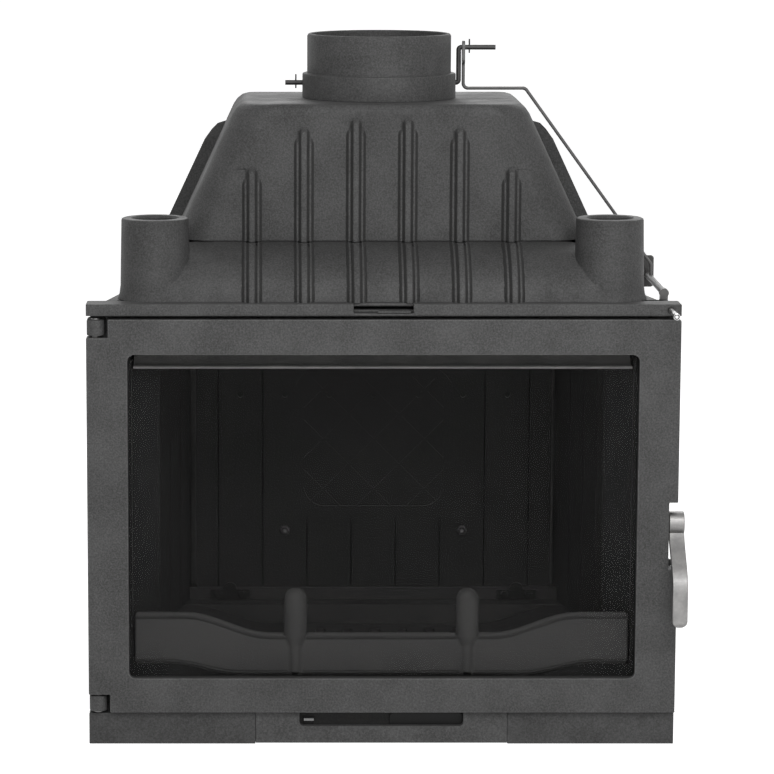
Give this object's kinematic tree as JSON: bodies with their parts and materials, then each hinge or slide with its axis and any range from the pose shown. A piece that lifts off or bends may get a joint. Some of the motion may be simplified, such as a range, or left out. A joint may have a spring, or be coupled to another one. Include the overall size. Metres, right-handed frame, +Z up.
{
  "type": "fireplace insert",
  "caption": "Cast-iron fireplace insert with a glazed hinged door, ribbed smoke dome, round flue spigot, rod-worked damper, ash drawer and air slides.",
  "frame": {"origin": "middle of the base's underside, straight below the flue", "axes": "+X to the right as seen from the front, +Y to the back, +Z up along the flue"},
  "size_m": [0.708, 0.488, 0.838],
  "materials": {
    "cast_iron": "matt stove paint",
    "sooty_iron": "matt, dark",
    "dull_steel": "dull",
    "satin_steel": "satin",
    "polished": "polished",
    "ceramic_glass": "clear",
    "glass_rope": "woven"
  },
  "bodies": {
    "stove_body": {"base_plinth": "cast_iron", "front_frame": "cast_iron", "left_wall": "cast_iron", "right_wall": "cast_iron", "rear_wall": "cast_iron", "hearth_floor": "sooty_iron", "grate": "sooty_iron", "log_retainer": "sooty_iron", "fireback": "sooty_iron", "fireback_clamps": "sooty_iron", "fireback_bolts": "dull_steel", "left_lining": "sooty_iron", "right_lining": "sooty_iron", "baffle_plate": "sooty_iron", "air_wash_deflector": "sooty_iron", "shoulder": "cast_iron", "smoke_dome": "cast_iron", "rear_hood": "cast_iron", "flue_collar": "cast_iron", "wall_bolts": "dull_steel", "hinge_pins": "satin_steel", "latch_keeper": "dull_steel", "keeper_roller": "satin_steel", "rod_guide": "dull_steel"},
    "door": {"door_frame": "cast_iron", "door_glass": "ceramic_glass", "glass_gasket": "glass_rope", "glass_clips": "dull_steel", "clip_screws": "satin_steel", "door_rope_seal": "glass_rope", "handle_pin": "satin_steel"},
    "handle": {"door_handle": "satin_steel"},
    "damper": {"damper_shaft": "dull_steel", "damper_blade": "sooty_iron", "blade_screws": "dull_steel", "damper_cotters": "dull_steel"},
    "pull": {"pull_knob": "polished", "pull_rod": "dull_steel", "rod_barrel": "dull_steel", "link_wire": "dull_steel"},
    "ash_drawer": {"drawer_front": "cast_iron", "drawer_register": "sooty_iron", "drawer_screws": "satin_steel", "ash_pan": "dull_steel"},
    "primary_air": {"primary_air_slide": "sooty_iron"},
    "secondary_air": {"secondary_air_slide": "sooty_iron"}
  },
  "joints": [
    {"name": "door_hinge", "type": "hinge", "parent": "stove_body", "child": "door", "pos_m": [-0.339, -0.207, 0.277], "axis": [0, 0, -1], "range_deg": [0, 110]},
    {"name": "handle_lift", "type": "hinge", "parent": "door", "child": "handle", "pos_m": [0.349, -0.206, 0.269], "axis": [-1, 0, 0], "range_deg": [0, 60]},
    {"name": "damper_turn", "type": "hinge", "parent": "stove_body", "child": "damper", "pos_m": [0, 0, 0.778], "axis": [1, 0, 0], "range_deg": [-45, 45]},
    {"name": "pull_slide", "type": "slide", "parent": "stove_body", "child": "pull", "axis": [0, -1, 0], "range_m": [-0.031, 0.031]},
    {"name": "drawer_slide", "type": "slide", "parent": "stove_body", "child": "ash_drawer", "axis": [0, -1, 0], "range_m": [0, 0.25]},
    {"name": "primary_air_slide", "type": "slide", "parent": "ash_drawer", "child": "primary_air", "axis": [1, 0, 0], "range_m": [0, 0.048]},
    {"name": "secondary_air_slide", "type": "slide", "parent": "stove_body", "child": "secondary_air", "axis": [-1, 0, 0], "range_m": [0, 0.024]}
  ],
  "couplings": [
    {"joint": "damper_turn", "follows": "pull_slide", "rad_per_m": 25}
  ]
}
